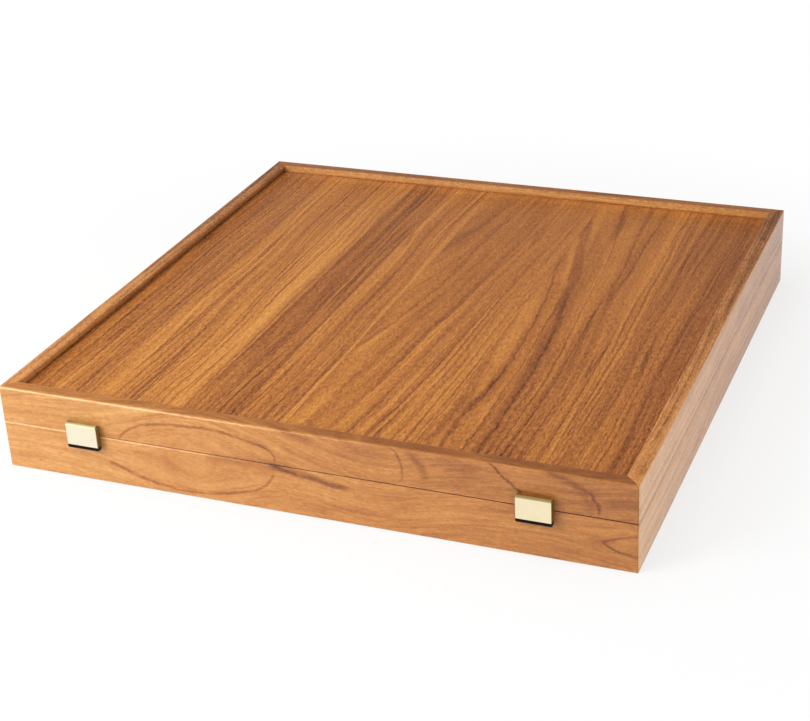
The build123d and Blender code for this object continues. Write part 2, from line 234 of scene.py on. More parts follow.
def ridge(g, value, width):
    """One where the value crosses zero, falling to nothing at width on either side."""
    return g.smooth(g.math("ABSOLUTE", value), 0.0, width, 1.0, 0.0)


def dress_wood(
    g, shader, along, flow, depth, tone, colours,
    contrast=1.0, texture=1.0, gloss=0.4, coat=0.3, fine=None,
):
    """Finishes a board about a broad tone from 0 to 1: bands, streaks, thin lines, fibres and pores.

    Contrast is the strength of the figure and texture that of the fibres. Fine is where the fibres lie
    across the board, where that isn't the flow of its figure."""
    fine = flow if fine is None else fine

    def grain(pitch, reach, detail=2.0, roughness=0.5, shift=0.0, across=flow):
        """Noise whose features are about pitch wide and reach long, in millimetres."""
        place = g.combine(
            g.add(g.mul(across, 1.0 / pitch), shift), g.mul(along, 1.0 / reach), g.mul(depth, 1.0 / pitch)
        )
        return g.noise(place, detail, roughness)

    unrest = g.combine(g.mul(fine, 0.12), g.mul(along, 0.16), g.mul(depth, 0.1))
    ring_flow = g.add(flow, g.mul(g.noise(unrest, 2, 0.6), 1.3))
    line_shift, relief_step = 57.0, 0.2
    band = grain(11.0, 600.0)
    streak = grain(3.0, 200.0, 2.0, 0.6, 31.0)
    hair = grain(1.1, 40.0, 2.0, 0.6, 45.0)
    lines = grain(4.0, 300.0, 1.0, 0.5, line_shift, ring_flow)
    relief = g.sub(lines, grain(4.0, 300.0, 1.0, 0.5, line_shift + relief_step, ring_flow))
    fibre = grain(0.7, 4.0, 2.0, 0.6, 11.0, fine)
    speck = grain(0.9, 1.8, 2.0, 0.6, 71.0, fine)
    pores = grain(0.45, 3.4, 1.0, 0.6, 23.0, fine)
    pore = g.smooth(pores, 0.10, 0.2)
    dark_line = g.mul(ridge(g, lines, 0.05), g.add(0.75, g.mul(band, 1.5)))
    figure = g.total(
        g.mul(band, 0.4), g.mul(streak, 0.36), g.mul(hair, 0.32), g.mul(relief, 0.6),
        g.mul(dark_line, -0.26),
    )
    fibres = g.total(g.mul(fibre, 0.6), g.mul(speck, 0.42), g.mul(pore, -0.14))
    shade = g.total(tone, g.mul(figure, contrast), g.mul(fibres, texture))
    g.feed(shader.inputs["Base Color"], g.ramp(shade, colours))
    g.feed(shader.inputs["Roughness"], g.total(gloss, g.mul(fibre, 0.25), g.mul(pore, 0.1)))
    shader.inputs["Specular IOR Level"].default_value = WOOD_SPECULAR
    shader.inputs["Coat Weight"].default_value = coat
    shader.inputs["Coat Roughness"].default_value = WOOD_COAT_ROUGHNESS
    height = g.total(0.6, g.mul(fibre, 0.5), g.mul(pore, -0.5), g.mul(dark_line, -0.4), g.mul(speck, 0.3))
    bump(g, shader, height, WOOD_RELIEF)


def warp(g, along, across, depth, reach):
    """A slow sideways wander of the grain, in millimetres."""
    slow = g.noise(g.combine(g.mul(across, 0.02), g.mul(along, 0.006), g.mul(depth, 0.02)), 1)
    quick = g.noise(g.combine(g.mul(across, 0.05), g.mul(along, 0.02), g.mul(depth, 0.05)), 2)
    return g.add(g.mul(slow, reach), g.mul(quick, reach * 0.22))


# The lid panel is laid in staves. Each has its left edge in millimetres, a tone, and the way that
# its grain arches about the left edge: 1 opens to the back, -1 to the front, and 0 is straight.
staves = [
    (-170.0, 0.54, 0.0),
    (-129.0, 0.61, 0.0),
    (-68.0, 0.48, 0.0),
    (-42.0, 0.58, 0.0),
    (-13.5, 0.545, 1.0),
    (58.0, 0.545, -1.0),
    (127.0, 0.46, 0.0),
]
# Soft bands along a stave: middle and half width in millimetres, and how much lighter each is at the
# front and at the back
bands = [
    (-154.0, 6.0, -0.05, -0.05),
    (-142.0, 5.0, 0.06, 0.0),
    (-121.0, 5.0, 0.09, 0.05),
    (-111.5, 2.0, -0.09, -0.06),
    (-99.0, 6.0, -0.04, -0.04),
    (-79.0, 9.0, 0.08, 0.07),
    (-6.0, 7.0, 0.10, 0.0),
    (64.0, 6.0, 0.09, 0.08),
    (98.0, 26.0, -0.13, 0.03),
]
# The arched lines: how sharply they bend, how closely they follow each other, and how far outside the
# stave's left edge their axis lies, in millimetres
arch_curve = 0.007
arch_pitch = 0.042
arch_vertex = 9.0
# Nearer the front than this, the lines of a stave that arches to the front run straight, which sets in
# over the blend. Millimetres.
arch_end, arch_blend = -25.0, 70.0
# How far apart in the wood two staves lie that are a panel's width apart, along and across the grain
stave_shift_along, stave_shift_across = 2600.0, 900.0
# The stave between these edges, each a soft step in millimetres, has a calmer figure than the others, by
# these shares at the front and at the back
calm_from, calm_to = (-15.0, -12.0), (56.0, 60.0)
calm_front, calm_back = 0.1, 0.4


def panel_material():
    """The lid panel's staves of veneer, with the grain from front to back."""
    made, g, shader = material("panel_wood")
    x, y, z = g.millimetres()
    edges = [edge for edge, tone, arch in staves]
    low, high = edges[0], right * MM
    levels = [(tone, (arch + 1) / 2, (edge - low) / (high - low)) for edge, tone, arch in staves]
    tone, arch, edge = g.steps(x, edges[1:], levels, low, high)
    arch = g.sub(g.mul(arch, 2.0), 1.0)
    arched = g.math("ABSOLUTE", arch)
    from_edge = g.sub(g.sub(x, low), g.mul(edge, high - low))
    along = g.add(y, g.mul(edge, stave_shift_along))
    wander = warp(g, along, x, z, 12.0)
    across = g.add(from_edge, wander)
    from_vertex = g.add(across, arch_vertex)
    square = g.mul(g.mul(from_vertex, from_vertex), arch_curve)
    to_front = g.mul(g.sub(arched, arch), 0.5)
    straightened = g.math("SMOOTH_MAX", y, arch_end, arch_blend)
    bend_y = g.add(y, g.mul(to_front, g.sub(straightened, y)))
    bowed = g.sub(square, g.mul(g.mul(bend_y, arch), arch_pitch))
    straight = g.mul(across, g.sub(1.0, arched))
    flow = g.total(straight, g.mul(bowed, arched), g.mul(edge, stave_shift_across))
    broad = g.noise(g.combine(g.mul(x, 0.03), g.mul(y, 0.004), 0.0), 2)
    tone = g.total(tone, g.mul(broad, 0.2), g.mul(y, -0.00025))
    bent = g.add(x, g.mul(wander, 0.5))
    for middle, half, front_lift, back_lift in bands:
        lift = g.smooth(y, -90.0, 60.0, front_lift, back_lift)
        off = g.math("ABSOLUTE", g.sub(bent, middle))
        tone = g.add(tone, g.smooth(off, 0.2 * half, 1.3 * half, lift, 0.0))
    nearer = g.smooth(y, -150.0, 150.0, 1.1, 0.75)
    in_calm = g.mul(g.smooth(x, *calm_from), g.smooth(x, *calm_to, 1.0, 0.0))
    calm = g.sub(1.0, g.mul(in_calm, g.smooth(y, -60.0, 60.0, calm_front, calm_back)))
    contrast = g.mul(g.mul(nearer, calm), g.smooth(x, 110.0, 135.0, 1.0, 0.75))
    dress_wood(g, shader, along, flow, z, tone, PANEL_TONES, contrast, nearer, fine=x)
    return made


# The front's figure, as soft dark strokes in the grain, in millimetres. Each bows from one point to
# another: start X and Z, end X and Z, bow to the left of its way, half thickness and strength.
strokes = [
    (-101.0, 28.0, -85.0, 38.0, 1.5, 0.7, 0.26),
    (-85.0, 38.0, -45.0, 41.3, 1.2, 0.8, 0.30),
    (-45.0, 41.3, -15.0, 34.5, 0.8, 0.8, 0.30),
    (-15.0, 34.5, -14.0, 28.0, 1.0, 0.7, 0.20),
    (-14.5, 21.0, -28.0, 9.5, 2.0, 0.7, 0.22),
    (-28.0, 9.5, -58.0, 3.2, 0.8, 0.7, 0.24),
    (-58.0, 3.2, -80.0, 4.2, 0.6, 0.8, 0.24),
    (-80.0, 4.2, -108.0, 12.5, 0.8, 0.9, 0.26),
    (-16.0, 26.2, 24.0, 20.0, -0.4, 1.3, 0.34),
    (-52.0, 24.6, -6.0, 25.8, 0.3, 2.4, 0.14),
    (-12.0, 47.5, 7.0, 43.0, 0.3, 1.8, 0.16),
    (-9.0, 38.0, -3.0, 33.0, 0.4, 2.2, 0.08),
    (48.5, 47.0, 53.5, 40.0, 0.7, 0.7, 0.28),
    (53.5, 40.0, 54.8, 34.0, 0.3, 0.7, 0.24),
    (54.8, 34.0, 52.0, 28.5, 0.6, 0.6, 0.14),
    (56.0, 47.0, 66.0, 33.0, 2.2, 2.2, 0.18),
    (98.0, 47.5, 103.5, 42.0, 0.6, 0.8, 0.32),
    (103.5, 42.0, 114.0, 34.0, -0.5, 0.8, 0.32),
    (126.0, 47.0, 147.0, 39.0, 0.8, 1.6, 0.20),
    (146.0, 40.5, 151.0, 28.5, 1.4, 0.9, 0.26),
    (141.0, 40.0, 148.0, 29.0, 1.2, 2.2, 0.10),
    (171.0, 20.0, 152.5, 14.0, -1.0, 0.7, 0.26),
    (152.5, 14.0, 171.0, 8.2, -1.0, 0.7, 0.26),
    (146.0, 13.0, 158.0, 14.5, 0.2, 2.0, 0.12),
    (-168.0, 42.3, -138.0, 47.0, 0.5, 0.7, 0.14),
    (155.0, 34.0, 171.0, 36.0, 0.2, 2.4, 0.12),
    (-128.0, 33.0, -84.0, 47.0, -1.5, 2.6, -0.10),
    (76.0, 40.0, 92.0, 41.0, 0.4, 3.6, 0.10),
    (20.0, 38.0, 44.0, 43.0, 0.6, 4.0, 0.08),
    (92.0, 21.0, 150.0, 16.5, 0.5, 3.0, 0.06),
    (8.0, 6.0, 60.0, 14.0, -1.0, 2.0, 0.08),
]
# Strokes fainter than this add up, and the others don't darken where they cross
faint_stroke = 0.15
# What the grain flows round: centre X and Z, reach along the grain and half height
knots = [(-59.0, 22.5, 50.0, 19.0), (176.0, 14.0, 26.0, 6.0), (40.0, 52.0, 40.0, 12.0)]
# Along the front, in millimetres from the middle: the seam's painted shade line sets in between the first
# two, and the painted highlights on the edge under the seam and on the top edge fade out between the other
# two. Then half the width of the seam's painted shade, and how strong and how wide the painted highlights
# are.
seam_dark_from, seam_dark_to = -128.0, -96.0
edge_light_from, edge_light_to = 60.0, -150.0
seam_half_width = 0.45
seam_light, top_light = 0.32, 0.34
seam_light_reach = 1.5
top_light_reach = 1.6


def stroke(g, x, z, start_x, start_z, end_x, end_z, bow, thick, strength):
    """Strength along a bowed stroke, falling to nothing at its sides and ends."""
    length = hypot(end_x - start_x, end_z - start_z)
    along_x, along_z = (end_x - start_x) / length, (end_z - start_z) / length
    from_x, from_z = g.sub(x, start_x), g.sub(z, start_z)
    along = g.add(g.mul(from_x, along_x), g.mul(from_z, along_z))
    side = g.sub(g.mul(from_z, along_x), g.mul(from_x, along_z))
    share = g.mul(along, 1.0 / length)
    arc = g.mul(g.mul(share, g.sub(1.0, share)), 4.0 * bow)
    off = g.math("ABSOLUTE", g.sub(side, arc))
    past = g.sub(g.math("ABSOLUTE", g.sub(share, 0.5)), 0.5)
    ends = g.smooth(past, -2.0 * thick / length, 2.0 * thick / length, strength, 0.0)
    return g.mul(g.smooth(off, 0.0, 1.7 * thick, 1.0, 0.0), ends)


def seam_shade(g, z, strength):
    """Strength of the painted shade along the line where the lid meets the tray."""
    return g.smooth(g.math("ABSOLUTE", g.sub(z, seam * MM)), 0.1, seam_half_width, strength, 0.0)


# The rim's upper face is told from the walls' sides between these depths under its top, in millimetres
rim_from, rim_to = 1.2, 0.4


def front_material():
    """Lengthwise grain with curved figure, which runs on from the front face over the rim."""
    made, g, shader = material("front_wood")
    x, y, z = g.millimetres()
    inward = g.sub(y, front * MM)
    across = g.add(z, inward)
    ripple = g.noise(g.combine(g.mul(x, 0.09), g.mul(across, 0.16), 0.0), 2)
    shiver = g.noise(g.combine(g.mul(x, 0.45), g.mul(across, 0.6), 7.0), 2)
    drawn_x = g.total(x, g.mul(ripple, 3.0), g.mul(shiver, 1.0))
    drawn_z = g.total(across, g.mul(ripple, 2.4), g.mul(shiver, 1.4))
    figure = 0.0
    for values in strokes:
        mark = stroke(g, drawn_x, drawn_z, *values)
        figure = g.add(figure, mark) if values[-1] < faint_stroke else g.math("MAXIMUM", figure, mark)
    broken = g.noise(g.combine(g.mul(x, 0.25), g.mul(across, 0.4), 3.0), 3, 0.65)
    figure = g.mul(figure, g.add(0.9, g.mul(broken, 1.8)))
    # Painted shade in the seam's groove, setting in towards the right
    to_right = g.smooth(x, seam_dark_from, seam_dark_to)
    figure = g.sub(figure, g.mul(seam_shade(g, z, -0.5), to_right))
    # Painted highlights along the edge under the seam and along the top edge, strongest at the left and
    # gone towards the right
    lit = g.smooth(x, edge_light_to, edge_light_from, 1.0, 0.0)
    below = g.sub(seam * MM, z)
    seam_edge_highlight = g.mul(g.smooth(below, -0.4, 0.2), g.smooth(below, 0.5, seam_light_reach, 1.0, 0.0))
    top_edge_highlight = g.smooth(g.sub(top * MM, z), 0.2, top_light_reach, 1.0, 0.0)
    on_face = g.smooth(inward, 0.25, 0.5, 1.0, 0.0)
    lights = g.mul(g.add(g.mul(seam_edge_highlight, seam_light), g.mul(top_edge_highlight, top_light)), on_face)
    figure = g.sub(figure, g.mul(g.mul(lit, lights), g.add(1.0, broken)))
    flow = g.add(across, warp(g, x, across, 0.0, 6.0))
    for centre_x, centre_z, reach, height in knots:
        off_x = g.mul(g.sub(x, centre_x), 1.0 / reach)
        near = g.math("EXPONENT", g.mul(g.mul(off_x, off_x), -1.0))
        pushed = g.math("TANH", g.mul(g.sub(across, centre_z), 1.2 / height))
        flow = g.sub(flow, g.mul(g.mul(pushed, near), 0.85 * height))
    cloud = g.noise(g.combine(g.mul(x, 0.03), g.mul(flow, 0.2), 21.0), 3, 0.6)
    wisp = g.noise(g.combine(g.mul(x, 0.07), g.mul(flow, 0.7), 33.0), 3, 0.65)
    broad = g.noise(g.combine(g.mul(x, 0.008), g.mul(across, 0.04), 0.0), 2)
    shades = (g.mul(broad, 0.12), g.mul(cloud, 0.36), g.mul(wisp, 0.34), g.mul(broken, 0.16))
    on_lid = g.smooth(g.sub(z, seam * MM), 0.0, 1.0)
    darker = g.mul(on_lid, g.smooth(x, -30.0, 30.0, 0.0, -0.05))
    # Painted shade: the rim's upper face is made darker than the front face
    behind_edge = g.smooth(y, front * MM + 0.8, front * MM + 2.2)
    on_rim = g.mul(g.smooth(z, top * MM - rim_from, top * MM - rim_to), behind_edge)
    tone = g.total(0.645, g.mul(x, -0.0006), darker, g.mul(on_rim, -0.16), *shades)
    dress_wood(g, shader, x, flow, 0.0, g.sub(tone, figure), FRONT_TONES, 0.26, 0.42, fine=across)
    return made


# Painted light makes the sides paler on their outer faces. Inside the rim, painted shade darkens the walls
# down by the panel, and painted light makes them paler along the top.
painted_side_light = 0.2
corner_shade, corner_light = -0.34, 0.16
# How dark the painted shade in the seam's groove is on the sides and back
seam_painted_shade = -0.2
# The middle of the side rims' darker line, in millimetres from the outer face
rim_line_place = 3.4


def side_material(name, face, seed, rim_painted_shade, rim_line, rim_edge_painted_light):
    """Lengthwise grain from front to back, on a side wall. The painted shade on its rim's upper face, a
    darker line along the middle of the rim, and the painted light on the rim's outer edge, painted shade
    where negative, are given."""
    made, g, shader = material(name)
    x, y, z = g.millimetres()
    outward = 1.0 if face > 0 else -1.0
    inward = g.mul(g.sub(face * MM, x), outward)
    across = g.total(z, inward, seed)
    flow = g.add(across, warp(g, y, across, 0.0, 12.0))
    broad = g.noise(g.combine(g.mul(y, 0.008), g.mul(across, 0.04), seed), 2)
    cloud = g.noise(g.combine(g.mul(y, 0.05), g.mul(across, 0.1), seed), 3, 0.6)
    # Painted light on the outer face; painted shade low inside the rim, and painted light at its top
    on_face = g.smooth(inward, 0.2, 0.5, painted_side_light, 0.0)
    on_inside = g.smooth(inward, wall * MM - 0.4, wall * MM - 0.1)
    corner = g.mul(on_inside, g.smooth(z, panel_top * MM, top * MM - 0.8, corner_shade, corner_light))
    # Painted shade on the rim's upper face, with painted light on its outer edge, painted shade where
    # negative
    on_rim = g.smooth(z, top * MM - rim_from, top * MM - rim_to)
    line = g.smooth(g.math("ABSOLUTE", g.sub(inward, rim_line_place)), 0.4, 1.8, rim_line, 0.0)
    outer_edge = g.smooth(inward, 0.4, 1.8, rim_edge_painted_light, 0.0)
    rim = g.mul(on_rim, g.total(rim_painted_shade, line, outer_edge))
    shades = (g.mul(broad, 0.2), g.mul(cloud, 0.4), corner, g.mul(y, -0.001))
    tone = g.total(0.56, on_face, rim, seam_shade(g, z, seam_painted_shade), *shades)
    dress_wood(g, shader, g.add(y, seed * 7), flow, 0.0, tone, SIDE_TONES, 0.75, 1.0, coat=0.38)
    return made


def back_material():
    """Lengthwise grain on the back walls, with painted shade on the rim's upper face and at the foot of
    the inner wall, and painted light on the inner wall.
    """
    made, g, shader = material("back_wood")
    x, y, z = g.millimetres()
    inward = g.sub(back * MM, y)
    across = g.total(z, inward, 300.0)
    flow = g.add(across, warp(g, x, across, 0.0, 14.0))
    broad = g.noise(g.combine(g.mul(x, 0.008), g.mul(across, 0.03), 0.0), 2)
    # Painted shade on the rim's upper face; painted light on the inner wall, with painted shade at its
    # foot by the panel
    on_rim = g.smooth(z, top * MM - rim_from, top * MM - 0.3, 0.0, -0.2)
    on_inside = g.smooth(inward, wall * MM - 2.4, wall * MM - 1.0)
    foot_painted_shade = g.smooth(z, panel_top * MM + 0.2, panel_top * MM + 1.4, -0.3, 0.0)
    inside = g.mul(on_inside, g.add(0.16, foot_painted_shade))
    tone = g.total(0.64, g.mul(broad, 0.25), on_rim, inside, seam_shade(g, z, seam_painted_shade))
    dress_wood(g, shader, x, flow, 0.0, tone, FRONT_TONES, 0.6, 0.8)
    return made


def plain_wood(name, colours, grain_along_x, tone=0.5, contrast=0.8, gloss=0.5, seed=0.0, squares=None):
    """Straight-grained wood for boards and panels. Squares gives the corner and side of the squares
    that are each cut from another place in the wood."""
    made, g, shader = material(name)
    x, y, z = g.millimetres()
    along, across = (x, y) if grain_along_x else (y, x)
    along = g.add(along, seed)
    if squares:
        corner_x, corner_y, side = squares
        column = g.math("FLOOR", g.mul(g.sub(x, corner_x), 1.0 / side))
        row = g.math("FLOOR", g.mul(g.sub(y, corner_y), 1.0 / side))
        chance = g.node("ShaderNodeTexWhiteNoise", noise_dimensions="3D")
        g.feed(chance.inputs["Vector"], g.combine(column, row, seed))
        along = g.add(along, g.mul(chance.outputs["Value"], 900.0))
        across = g.add(across, g.mul(chance.outputs["Value"], 370.0))
        tone = g.add(tone, g.mul(g.sub(chance.outputs["Value"], 0.5), 0.16))
    flow = g.add(across, warp(g, along, across, z, 8.0))
    broad = g.noise(g.combine(g.mul(across, 0.03), g.mul(along, 0.004), g.mul(z, 0.03)), 2)
    tone = g.add(tone, g.mul(broad, 0.3))
    dress_wood(g, shader, along, flow, z, tone, colours, contrast, contrast, gloss)
    return made


def metal(name, colour, roughness, brushed):
    """Metal with a fine brushed or tumbled finish, a little dull in patches."""
    made, g, shader = material(name)
    x, y, z = g.millimetres()
    stretch = 0.25 if brushed else 1.0
    fine = g.noise(g.combine(g.mul(x, 6.0 * stretch), g.mul(y, 6.0), g.mul(z, 9.0)), 3, 0.7)
    dull = g.noise(g.combine(g.mul(x, 0.12), g.mul(y, 0.12), g.mul(z, 0.12)), 3, 0.6)
    dark = tuple(part * 0.92 for part in colour)
    tint = g.smooth(g.add(dull, g.mul(fine, 0.3)), -0.3, 0.3)
    g.feed(shader.inputs["Base Color"], g.mix(linear(dark), linear(colour), tint))
    shader.inputs["Metallic"].default_value = 1.0
    g.feed(shader.inputs["Roughness"], g.total(roughness, g.mul(fine, 0.1), g.mul(dull, 0.08)))
    bump(g, shader, g.add(0.5, fine), METAL_RELIEF)
    return made


def clasp_material(name):
    """Pale polished brass on the flap's face, with painted reflection and shade: darker olive edges and
    sides, an almost black lower lip standing in for the shadow under the flap, and the right clasp painted
    darker than the left.
    """
    made, g, shader = material(name)
    x, y, z = g.millimetres()
    low, high = (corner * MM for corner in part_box("clasp_left_flap"))
    half = (high.x - low.x) / 2
    off_middle = g.math("ABSOLUTE", g.sub(g.math("ABSOLUTE", x), abs(low.x + half)))
    beside = g.smooth(off_middle, half - 0.3, half - 0.05)
    fine = g.noise(g.combine(g.mul(x, 1.5), g.mul(y, 6.0), g.mul(z, 9.0)), 3, 0.7)
    dull = g.noise(g.combine(g.mul(x, 0.2), g.mul(y, 0.2), g.mul(z, 0.2)), 3, 0.6)
    # Painted reflection and shade on the edges behind the face and on the sides, and a near-black lip
    # standing in for the shadow under the flap
    edge = g.smooth(g.sub(y, low.y), clasp_edge_from, clasp_edge_to)
    lip_top = low.z + clasp_lip_shade_height
    lip_shade = g.smooth(z, lip_top, lip_top + clasp_lip_blend, 1.0, 0.0)
    # Painted shade: the right clasp's face and edges are darker than the left's
    to_right = g.smooth(x, -20, 20)
    pale = g.mix(linear(CLASP_FACE), linear(CLASP_FACE_RIGHT_SHADED), to_right)
    pale = g.mix(pale, linear(CLASP_DULL), g.smooth(g.add(dull, g.mul(fine, 0.5)), 0.0, 0.5, 0.0, 0.5))
    painted_edge = g.mix(linear(CLASP_EDGE_PAINTED), linear(CLASP_EDGE_RIGHT_PAINTED), to_right)
    painted_edge = g.mix(painted_edge, linear(CLASP_SIDE_SHADE), beside)
    dark = g.mix(painted_edge, linear(CLASP_LIP_SHADE), lip_shade)
    g.feed(shader.inputs["Base Color"], g.mix(pale, dark, g.math("MAXIMUM", edge, lip_shade)))
    g.feed(shader.inputs["Metallic"], g.sub(1.0, g.mul(edge, 0.75)))
    roughness = g.total(0.24, g.mul(edge, 0.2), g.mul(fine, 0.08), g.mul(dull, 0.06))
    g.feed(shader.inputs["Roughness"], roughness)
    bump(g, shader, g.add(0.5, fine), METAL_RELIEF)
    return made


def felt_material(name, colour):
    """Short-napped felt."""
    made, g, shader = material(name)
    x, y, z = g.millimetres()
    nap = g.noise(g.combine(g.mul(x, 3.0), g.mul(y, 3.0), g.mul(z, 3.0)), 4, 0.8)
    brushed = g.noise(g.combine(g.mul(x, 0.03), g.mul(y, 0.05), 0.0), 3)
    light = tuple(min(255, part * 1.35) for part in colour)
    dark = tuple(part * 0.7 for part in colour)
    shade = g.total(0.5, g.mul(nap, 0.9), g.mul(brushed, 0.35))
    g.feed(shader.inputs["Base Color"], g.ramp(shade, [dark, colour, light]))
    shader.inputs["Roughness"].default_value = 0.95
    shader.inputs["Sheen Weight"].default_value = 0.35
    bump(g, shader, g.add(0.5, nap), NAP_RELIEF)
    return made


# Points closer than this are one, in metres
WELD = 1e-6


def piece(b, node, ending, finish):
    """Makes a piece of a mesh that was built up, which rides on its CAD node's body and stands for it."""
    mesh = bpy.data.meshes.new(node + ending)
    b.to_mesh(mesh)
    b.free()
    made = bpy.data.objects.new(node + ending, mesh)
    bpy.context.scene.collection.objects.link(made)
    mesh.materials.append(finish)
    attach(made, nodes[node]["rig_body"])
    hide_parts(node)
    return made


def smooth_faces(made, sharp_angle=38.0):
    """Smooth shading that keeps flat faces flat and true edges sharp."""
    made.data.polygons.foreach_set("use_smooth", [True] * len(made.data.polygons))
    made.data.set_sharp_from_angle(angle=radians(sharp_angle))
    weighted = made.modifiers.new("weighted", "WEIGHTED_NORMAL")
    weighted.keep_sharp = True


def eased(node, finish, width, segments=3, smallest_angle=40.0):
    """A copy of a CAD piece with its sharp edges eased by width in metres, which stands for it."""
    source = nodes[node].data
    b = bmesh.new()
    corners = [b.verts.new(vertex.co) for vertex in source.vertices]
    for polygon in source.polygons:
        b.faces.new([corners[index] for index in polygon.vertices])
    bmesh.ops.remove_doubles(b, verts=b.verts, dist=WELD)
    bmesh.ops.dissolve_limit(b, angle_limit=radians(1.0), verts=b.verts, edges=b.edges)
    limit = radians(smallest_angle)
    sharp = [edge for edge in b.edges if edge.is_manifold and edge.calc_face_angle() > limit]
    bmesh.ops.bevel(
        b, geom=sharp, offset=width, offset_type="OFFSET", segments=segments, profile=0.5,
        affect="EDGES", clamp_overlap=True,
    )
    bmesh.ops.dissolve_degenerate(b, dist=WELD, edges=b.edges)
    smooth_faces(piece(b, node, "_eased", finish))


def solids(node):
    """The lowest and highest corner of each separate solid in a CAD node."""
    b = bmesh.new()
    b.from_mesh(nodes[node].data)
    bmesh.ops.remove_doubles(b, verts=b.verts, dist=WELD)
    seen, boxes = set(), []
    for start in b.verts:
        if start in seen:
            continue
        seen.add(start)
        group, reached = [start], 0
        while reached < len(group):
            for edge in group[reached].link_edges:
                other = edge.other_vert(group[reached])
                if other not in seen:
                    seen.add(other)
                    group.append(other)
            reached += 1
        places = [vertex.co for vertex in group]
        low = Vector([min(place[axis] for place in places) for axis in range(3)])
        high = Vector([max(place[axis] for place in places) for axis in range(3)])
        boxes.append((low, high))
    b.free()
    return boxes


def turned(b, outline, turn, pitch=0.0, depth=0.0, sides=32):
    """Adds a round piece to a mesh from its outline of radius and height, with a screw thread where
    a point of the outline asks for one. Turn places it."""
    rings = []
    for radius, height, threaded in outline:
        ring = []
        for step in range(sides):
            share = step / sides
            phase = (height / pitch + share) % 1.0 if threaded else 0.0
            reach = radius - depth * abs(2.0 * phase - 1.0) if threaded else radius
            place = Vector((reach * cos(tau * share), reach * sin(tau * share), height))
            ring.append(b.verts.new(turn @ place))
        rings.append(ring)
    for upper, lower in zip(rings, rings[1:]):
        for step in range(sides):
            after = (step + 1) % sides
            b.faces.new((upper[step], lower[step], lower[after], upper[after]))
    b.faces.new(rings[0])
    b.faces.new(reversed(rings[-1]))


def slotted_head(b, radius, depth, slot_half, slot_depth, core, turn, sides=32):
    """Adds the two half rounds beside the slot of a countersunk head, which narrows from radius to core
    over its depth. Its face is at height 0. Gives the head's radius at the bottom of the slot."""
    def arc(reach, height, side):
        start = asin(slot_half / reach)
        span = pi - 2 * start
        angles = [start + span * step / sides for step in range(sides + 1)]
        return [Vector((reach * cos(angle), side * reach * sin(angle), height)) for angle in angles]

    neck = radius - (radius - core) * slot_depth / depth
    for side in (1, -1):
        face, rounding = arc(radius * 0.97, 0.0, side), arc(radius, -0.05 * MILLI, side)
        loops = (face, rounding, arc(neck, -slot_depth, side))
        made = [[b.verts.new(turn @ point) for point in loop] for loop in loops]
        for upper, lower in zip(made, made[1:]):
            for step in range(sides):
                b.faces.new((upper[step], lower[step], lower[step + 1], upper[step + 1]))
            b.faces.new((upper[0], upper[-1], lower[-1], lower[0]))
        b.faces.new(made[0])
        b.faces.new(reversed(made[-1]))
    return neck


def screws(node, upward):
    """Slotted wood screws with a cut thread, their heads flush at the seam."""
    b = bmesh.new()
    for number, (low, high) in enumerate(solids(node)):
        length = high.z - low.z
        radius = (high.x - low.x) / 2
        middle = Vector(((low.x + high.x) / 2, (low.y + high.y) / 2, low.z if upward else high.z))
        slot_turn = screw_turns[number % len(screw_turns)]
        turn = Matrix.Translation(middle) @ Matrix.Rotation(slot_turn, 4, "Z")
        if upward:
            turn = turn @ Matrix.Rotation(pi, 4, "X")
        core, slot = radius * 0.5, radius * 0.22
        neck = slotted_head(b, radius, radius / 2, radius / 8, slot, core, turn)
        threads = int((length - radius) / screw_pitch * thread_points)
        outline = [(neck * 0.999, -slot, False), (core, -radius / 2, False), (core, -radius, False)]
        for step in range(threads):
            share = step / threads
            height = -radius - (length - radius) * share
            outline.append((core * (1.0 - screw_taper * share ** 3), height, True))
        outline.append((0.1 * core, -length, False))
        turned(b, outline, turn, screw_pitch, core * thread_depth)
    joined(b, node, fastener)


def nails(node):
    """Round-headed nails, driven in from the front."""
    b = bmesh.new()
    for low, high in solids(node):
        radius = (high.x - low.x) / 2
        length = high.y - low.y
        head = radius * 0.4
        turn = Matrix.Translation(((low.x + high.x) / 2, low.y + head, (low.z + high.z) / 2))
        turn = turn @ Matrix.Rotation(pi / 2, 4, "X")
        dome = [(radius * sin(angle), head * (0.25 + 0.75 * cos(angle)), False) for angle in dome_angles]
        shank = radius / 2
        body = [(radius, 0.0, False), (shank, 0.0, False), (shank, (head - length) * 0.8, False)]
        turned(b, [*dome, *body, (shank * 0.3, head - length, False)], turn)
    joined(b, node, fastener)


def joined(b, node, finish):
    """Makes a piece of new faces, with their normals turned outwards."""
    bmesh.ops.recalc_face_normals(b, faces=b.faces)
    smooth_faces(piece(b, node, "_made", finish))


def tiles(node, finish):
    """The squares of one colour, each with its upper edges eased."""
    low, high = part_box("board_light_squares")
    side = (high.x - low.x) / squares_per_side
    facing_up = 0.9
    upper_faces = [face.center for face in nodes[node].data.polygons if face.normal.z > facing_up]
    places = {(int((middle.x - low.x) / side), int((middle.y - low.y) / side)) for middle in upper_faces}
    b = bmesh.new()
    for column, row in sorted(places):
        x, y = low.x + column * side, low.y + row * side
        layers = ((0.0, low.z), (0.0, high.z - TILE_EASE), (TILE_EASE, high.z))
        loops = []
        for inset, z in layers:
            near, far = inset, side - inset
            corners = ((near, near), (far, near), (far, far), (near, far))
            loops.append([b.verts.new((x + dx, y + dy, z)) for dx, dy in corners])
        for lower, upper in zip(loops, loops[1:]):
            for step in range(4):
                after = (step + 1) % 4
                b.faces.new((lower[step], lower[after], upper[after], upper[step]))
        b.faces.new(reversed(loops[0]))
        b.faces.new(loops[-1])
    joined(b, node, finish)


